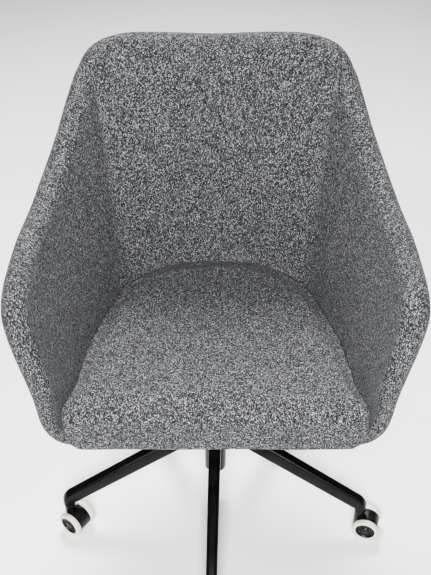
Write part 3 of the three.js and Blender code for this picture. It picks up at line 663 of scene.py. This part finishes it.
def middle_surface(turns, rise):
    """The middle of the wall: rise is 0 at the floor's centre, 1 to 2 on the curl and 3 at the rim."""
    rim = around_tub(rim_points, turns)
    foot = around_tub(foot_points, turns)
    inward = floor_roll / np.linalg.norm(foot - floor_centre, axis=1)[:, None]
    upward = np.minimum(floor_roll / np.linalg.norm(foot - rim, axis=1), 0.5)[:, None]
    curl_start = foot + (floor_centre - foot) * inward
    curl_end = foot + (rim - foot) * upward
    curl = np.clip(rise - 1, 0, 1)[:, None]
    on_curl = curl_start * (1 - curl) ** 2 + 2 * foot * curl * (1 - curl) + curl_end * curl ** 2
    on_floor = floor_centre + (curl_start - floor_centre) * np.minimum(rise, 1)[:, None]
    on_wall = curl_end + (rim - curl_end) * np.maximum(rise - 2, 0)[:, None]
    return np.where(rise[:, None] < 1, on_floor, np.where(rise[:, None] < 2, on_curl, on_wall))


def unit(vectors):
    return vectors / np.linalg.norm(vectors, axis=1)[:, None]


def wall_directions(turns, rise):
    """Around the tub, in towards the sitter, and on past the rim."""
    step = 1e-3
    around = unit(middle_surface(turns + step, rise) - middle_surface(turns - step, rise))
    along = unit(middle_surface(turns, np.minimum(rise + step, 3)) - middle_surface(turns, rise - step))
    inward = unit(np.cross(around, along))
    return inward, np.cross(inward, around)


def skin(turns, rise, face):
    """How far a face of the tub lies from the middle of its wall."""
    climbed = np.clip((rise - 1) / 1.2, 0, 1)
    climbed = climbed * climbed * (3 - 2 * climbed)
    upright = climbed * rib_share(6, turns)
    half = half_floor + (rib_share(5, turns) * half_wall - half_floor) * climbed
    under_pad = (half_floor - 0.0063) * (1 - upright)
    core = 0.010 + (0.010 * half / half_wall - 0.010) * upright
    faces = {"outside": -half, "core_outside": under_pad - core, "core_inside": under_pad, "inside": half}
    return faces[face]


columns = 384
turns = np.arange(columns) / columns


def tub_row(rise, face, allowance=0.0):
    rise = np.broadcast_to(rise, turns.shape).astype(float)
    inward, _ = wall_directions(turns, rise)
    return middle_surface(turns, rise) + inward * (skin(turns, rise, face) + allowance)[:, None]


def rim_row(angle):
    rise = np.full(columns, 3.0)
    inward, onward = wall_directions(turns, rise)
    half = skin(turns, rise, "inside")[:, None]
    return middle_surface(turns, rise) + half * (inward * cos(angle) + onward * sin(angle))


def below_rim(distance, share, extra=0.0):
    """The rise at a distance back from the rim, or a share of the straight wall if that is less."""
    rim = around_tub(rim_points, turns)
    wall = np.linalg.norm(rim - middle_surface(turns, np.full(columns, 2.0)), axis=1)
    return 3 - (np.minimum(distance, share * wall) + extra) / wall


wall_row = tub_row(2.5, "inside")
steps_around = np.linalg.norm(np.roll(wall_row, -1, axis=0) - wall_row, axis=1)
way_around = np.cumsum(steps_around) - steps_around
way_around = np.where(turns > 0.5, way_around - steps_around.sum(), way_around)


def skin_piece(name, rows):
    """A closed skin through rows of points around the tub, whose cloth is laid along them."""
    rows = [*rows]
    ends = [rows[0].mean(axis=0), rows[-1].mean(axis=0)]
    for _ in range(5):
        rows.insert(0, ends[0] + (rows[0] - ends[0]) * 0.6)
        rows.append(ends[1] + (rows[-1] - ends[1]) * 0.6)
    points = np.concatenate([*rows, ends])
    mesh = bpy.data.meshes.new(name)
    faces = []
    last = columns * (len(rows) - 1)
    for index in range(columns):
        following = (index + 1) % columns
        faces.append((len(points) - 2, following, index))
        faces.append((len(points) - 1, last + index, last + following))
        for row in range(0, last, columns):
            faces.append((row + index, row + following, row + columns + following, row + columns + index))
    mesh.from_pydata(points.tolist(), [], faces)
    climbed = np.concatenate(([0.0], np.cumsum([
        np.linalg.norm(b - a, axis=1).mean() for a, b in zip(rows, rows[1:])
    ])))
    lay_points = np.zeros((len(points), 3))
    for row in range(len(rows)):
        lay_points[row * columns:(row + 1) * columns, 0] = 4 + way_around
        lay_points[row * columns:(row + 1) * columns, 1] = 4 + climbed[row]
    lay_points[-2:] = lay_points[[0, last]]
    attribute = mesh.attributes.new("lay", "FLOAT_VECTOR", "POINT")
    attribute.data.foreach_set("vector", lay_points.astype(np.float32).ravel())
    mesh.materials.append(cloth.material)
    mesh.shade_smooth()
    piece = bpy.data.objects.new(name, mesh)
    bpy.context.scene.collection.objects.link(piece)
    return piece


def uneven(piece, amount, size):
    """Moves points along their normals by soft noise."""
    mesh = piece.data
    normals = [vertex.normal.copy() for vertex in mesh.vertices]
    for vertex, normal in zip(mesh.vertices, normals):
        vertex.co += normal * amount * noise(vertex.co / size)


seam_tuck = 0.0030
lap_end = below_rim(0.026, 0.45)
wall_rises = [*np.linspace(1, 2, 14), *np.linspace(2.04, 2.97, 24)]
pad_rows = [
    *[tub_row(rise, "inside") for rise in wall_rises],
    *[rim_row(angle) for angle in np.linspace(0, pi, 19)],
    *[tub_row(lap_end + (3 - lap_end) * share, "outside", tuck)
      for share, tuck in ((0.8, 0), (0.6, 0), (0.4, 0), (0.25, 0.0003), (0.12, 0.0011), (0.04, seam_tuck))],
    tub_row(lap_end, "core_outside", -0.001),
    *[tub_row(below_rim(0.006, 0.25, -0.0003), face, shift)
      for face, shift in (("core_outside", -0.0005), ("core_inside", 0.0005))],
    *[tub_row(rise, "core_inside", 0.0005) for rise in (2.8, 2.6, 2.4, 2.2, 2, 1.75, 1.5, 1.25, 1)],
]
tub_pad = skin_piece("tub_pad_cloth", pad_rows)
uneven(tub_pad, 0.0011, 0.09)
uneven(tub_pad, 0.0003, 0.022)
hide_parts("tub_pad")
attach(tub_pad, "seat")

cover_end = below_rim(0.026, 0.45, 0.0003)
cover_rows = [
    *[tub_row(1 + (cover_end - 1) * share, "core_outside", -0.0005) for share in (0, 0.25, 0.5, 0.75, 1)],
    tub_row(cover_end, "outside", seam_tuck),
    *[tub_row(cover_end - (cover_end - 1) * share, "outside", tuck)
      for share, tuck in ((0.004, 0.0014), (0.012, 0.0005), (0.024, 0.0001))],
    *[tub_row(cover_end - (cover_end - 1) * share, "outside") for share in np.linspace(0.05, 1, 34)],
]
tub_cover = skin_piece("tub_cover_cloth", cover_rows)
uneven(tub_cover, 0.0009, 0.1)
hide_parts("tub_cover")
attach(tub_cover, "seat")

# Seat cushion. Foam and wadding in a sewn cover of the same cloth, loose in the tub and crowned, its front
# rolling down over the lip. It is cut to the tub's floor, a little small, swells as it is stuffed, and its
# sides press against the tub but for a thin gap, whose dark line is shade painted into the cloth's colour.
cushion_gap = 0.0042
cushion_top_back, cushion_top_front = 0.448, 0.4595
cushion_face = tub_front + 0.0115 + 0.56 * half_wall - 0.0015
cushion_roll = 0.034
cushion_bed = underside + 2 * half_floor + 0.0015
cushion_half_width = 0.237
cushion_slope_start = 0.12
drop_corner = 0.023
voxel = 0.0045
stuffing_steps = 20
side_cap = 0.0022
sink_cap = 0.0005
swell_cap = 0.012
crown_height = 0.006
seat_lay_scale = 0.85


def solid_between(name, rows):
    """A plain closed solid through rows of points, to cut with."""
    around = len(rows[0])
    points = np.concatenate(rows)
    last = around * (len(rows) - 1)
    faces = [tuple(range(around))[::-1], tuple(range(last, last + around))]
    for index in range(around):
        following = (index + 1) % around
        for row in range(0, last, around):
            faces.append((row + index, row + following, row + around + following, row + around + index))
    mesh = bpy.data.meshes.new(name)
    mesh.from_pydata(points.tolist(), [], faces)
    solid = bpy.data.objects.new(name, mesh)
    bpy.context.scene.collection.objects.link(solid)
    deselect()
    solid.select_set(True)
    bpy.context.view_layer.objects.active = solid
    bpy.ops.object.mode_set(mode="EDIT")
    bpy.ops.mesh.select_all(action="SELECT")
    bpy.ops.mesh.normals_make_consistent(inside=False)
    bpy.ops.object.mode_set(mode="OBJECT")
    return solid


rim_rise = np.full(columns, 3.0)
rim_inward, rim_onward = wall_directions(turns, rim_rise)
above_rim_inward = (skin(turns, rim_rise, "inside") + cushion_gap)[:, None]
above_rim = middle_surface(turns, rim_rise) + rim_inward * above_rim_inward + rim_onward * 0.08
cushion = solid_between("seat_cushion_cloth", [
    *[tub_row(rise, "inside", cushion_gap) for rise in (*np.linspace(1, 2, 9), 2.25, 2.5, 3)],
    above_rim,
    above_rim * (1, 1, 0) + (0, 0, 1.2),
])
far = 0.5
profile = [(far, cushion_bed), (far, cushion_top_back), (cushion_slope_start, cushion_top_back + 0.002)]
roll_angles = np.linspace(pi / 2, pi, 12)
profile += [
    (-cushion_face + cushion_roll + cushion_roll * cos(angle),
     cushion_top_front - cushion_roll + cushion_roll * sin(angle)) for angle in roll_angles
]
profile += [(-cushion_face, cushion_bed)]
slab = solid_between("slab", [
    np.array([(side * (cushion_half_width - 0.001), y, z) for y, z in profile]) for side in (-1, 1)
])
deselect()
bpy.ops.mesh.primitive_cube_add(
    size=1, location=(0, -cushion_face + 0.0055, (underside + 0.0045 + cushion_bed + 0.012) / 2),
    scale=(2 * cushion_half_width - 0.006, 0.011, cushion_bed + 0.012 - underside - 0.0045),
)
front_drop = bpy.context.object
bpy.ops.object.transform_apply(location=True, rotation=True, scale=True)
bpy.ops.object.mode_set(mode="EDIT")
chosen("EDGE", lambda middle, along: (
    abs(middle.x) > 0.2 and middle.z < underside + 0.01 and abs(along.y) > 0.005
))
bpy.ops.mesh.bevel(offset=drop_corner, segments=10, affect="EDGES", profile=0.5)
bpy.ops.object.mode_set(mode="OBJECT")
modified(cushion, "BOOLEAN", operation="INTERSECT", solver="EXACT", object=slab)
modified(cushion, "BOOLEAN", operation="UNION", solver="EXACT", object=front_drop)
bpy.data.objects.remove(slab)
bpy.data.objects.remove(front_drop)
modified(cushion, "REMESH", mode="VOXEL", voxel_size=voxel)
modified(cushion, "SMOOTH", factor=0.5, iterations=7)
cut = np.array([vertex.co for vertex in cushion.data.vertices])
stuffing = cushion.modifiers.new("stuffing", "CLOTH")
stuffing.settings.quality = 5
stuffing.settings.mass = 0.3
stuffing.settings.tension_stiffness = 25
stuffing.settings.compression_stiffness = 25
stuffing.settings.shear_stiffness = 15
stuffing.settings.bending_stiffness = 2
stuffing.settings.use_pressure = True
stuffing.settings.uniform_pressure_force = 4
stuffing.settings.effector_weights.gravity = 0
stuffing.point_cache.frame_start = 1
stuffing.point_cache.frame_end = stuffing_steps
for number in range(1, stuffing_steps + 1):
    bpy.context.scene.frame_set(number)
stuffed = cushion.evaluated_get(bpy.context.evaluated_depsgraph_get())
swelled = np.array([vertex.co for vertex in stuffed.data.vertices])
cushion.modifiers.remove(stuffing)
moved = swelled - cut
moved[:, :2] = np.clip(moved[:, :2], -side_cap, side_cap)
moved[:, 2] = np.clip(moved[:, 2], -sink_cap, swell_cap)
cushion.data.vertices.foreach_set("co", (cut + moved).ravel())
bpy.context.scene.frame_set(1)
crown_points = np.array([vertex.co for vertex in cushion.data.vertices])
over_seat = np.clip((crown_points[:, 2] - cushion_bed) / (cushion_top_back - cushion_bed), 0, 1) ** 2
hollow = np.clip(1 - (crown_points[:, 0] / 0.24) ** 2, 0, 1) * np.clip(
    1 - ((crown_points[:, 1] + 0.03) / 0.23) ** 2, 0, 1)
crown_points[:, 2] += over_seat * hollow * crown_height
cushion.data.vertices.foreach_set("co", crown_points.ravel())
cushion.data.update()
cushion.data.shade_smooth()
uneven(cushion, 0.0012, 0.07)
modified(cushion, "SMOOTH", factor=0.5, iterations=2)
modified(cushion, "SUBSURF", levels=1, render_levels=1)
tub_inside = BVHTree.FromObject(tub_pad, bpy.context.evaluated_depsgraph_get())
near_wall = 0.016
press_fade = 0.008
seam_line = 0.0024
edge_roll = 0.0045
side_gap = 0.002
# Reach and fade of the shade painted into the cloth along the gap to the tub wall.
painted_shade_reach = 0.0062
painted_shade_fade = 0.0025
faced = [vertex.normal.z for vertex in cushion.data.vertices]
painted_shade_share = np.zeros(len(faced))
for vertex, faces_up in zip(cushion.data.vertices, faced):
    _, wall_normal, _, off_wall = tub_inside.find_nearest(vertex.co)
    if off_wall > near_wall or vertex.co.z < cushion_bed + 0.012 or wall_normal.z > 0.8:
        continue
    on_top = min(max((faces_up - 0.2) / 0.5, 0), 1)
    pressed = min((near_wall - off_wall) / press_fade, 1) * (1 - on_top)
    left_over = off_wall - (off_wall - seam_line) * pressed
    high = min(max((vertex.co.z - cushion_bed - 0.016) / 0.01, 0), 1)
    # Painted shade: high on the side and close to the wall, the cloth is marked to be painted dark.
    painted_shade_share[vertex.index] = high * min(max((painted_shade_reach - left_over) / painted_shade_fade, 0), 1)
    vertex.co -= wall_normal * (off_wall - seam_line) * pressed
    short = edge_roll - min(max(off_wall - side_gap, 0), edge_roll)
    forwards = (cushion_slope_start - vertex.co.y) / (cushion_slope_start + cushion_face - cushion_roll)
    edge_height = cushion_top_back + (cushion_top_front - cushion_top_back) * min(max(forwards, 0), 1)
    lift = edge_height - edge_roll + (edge_roll ** 2 - short ** 2) ** 0.5 - vertex.co.z
    if lift > 0 and vertex.co.y > cushion_roll - cushion_face:
        vertex.co.z += lift * on_top
cushion.data.update()
cushion.data.materials.clear()
cushion.data.materials.append(cloth.material)
laid = np.array([vertex.co for vertex in cushion.data.vertices])
fallen = np.maximum(cushion_top_back - laid[:, 2], 0) * (laid[:, 1] < -0.15)
laid_flat = (laid[:, 0] + 8, laid[:, 1] - fallen + 8, np.zeros(len(laid)))
laid_points = seat_lay_scale * np.stack(laid_flat, axis=1)
cushion_lay = cushion.data.attributes.new("lay", "FLOAT_VECTOR", "POINT")
cushion_lay.data.foreach_set("vector", laid_points.astype(np.float32).ravel())
# Stores the shade painted along the wall gap, for the cloth's colour.
cushion.data.attributes.new("joint", "FLOAT", "POINT").data.foreach_set("value", painted_shade_share.astype(np.float32))
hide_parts("seat_cushion")
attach(cushion, "seat")

# Studio: a plain pale floor, a soft light above and in front, a weaker one above and behind, and a dim
# pale sky. The camera stands in front, higher than the chair's back, and looks down.
deselect()
bpy.ops.mesh.primitive_plane_add(size=16, location=(0, 3, 0))
floor = bpy.context.object
floor.name = "floor"
screed = Finish("pale_floor", Specular_IOR_Level=0.3)
cloud = screed.grain(0.6, 4.0)
screed.shade(
    Base_Color=screed.ramp(cloud, (0.3, (0.82, 0.82, 0.81)), (0.7, (0.88, 0.88, 0.87))),
    Roughness=cloud * 0.1 + 0.55,
)
floor.data.materials.append(screed.material)
bpy.context.scene.view_settings.look = "AgX - High Contrast"

for name, at, aim, size, power in (
    ("key_light", (-0.05, -2.4, 2.4), (0, 0, 0.5), 0.9, 190),
    ("back_light", (-0.15, 1.7, 2.9), (0, 0, 0.5), 0.9, 110),
):
    light = bpy.data.lights.new(name, "AREA")
    light.shape = "SQUARE"
    light.size = size
    light.energy = power
    lamp = bpy.data.objects.new(name, light)
    lamp.location = at
    lamp.rotation_euler = (Vector(aim) - Vector(at)).to_track_quat("-Z", "Y").to_euler()
    bpy.context.scene.collection.objects.link(lamp)
sky = bpy.data.worlds.new("sky")
sky.use_nodes = True
sky.node_tree.nodes["Background"].inputs["Color"].default_value = (0.93, 0.95, 1.0, 1)
sky.node_tree.nodes["Background"].inputs["Strength"].default_value = 0.12
bpy.context.scene.world = sky

camera_data = bpy.data.cameras.new("camera")
camera_data.lens = 53.8
camera_data.sensor_width = 36
camera = bpy.data.objects.new("camera", camera_data)
camera.location = (0, -1.1446, 1.4234)
camera.rotation_euler = (radians(51.89), 0, 0)
bpy.context.scene.collection.objects.link(camera)
bpy.context.scene.camera = camera
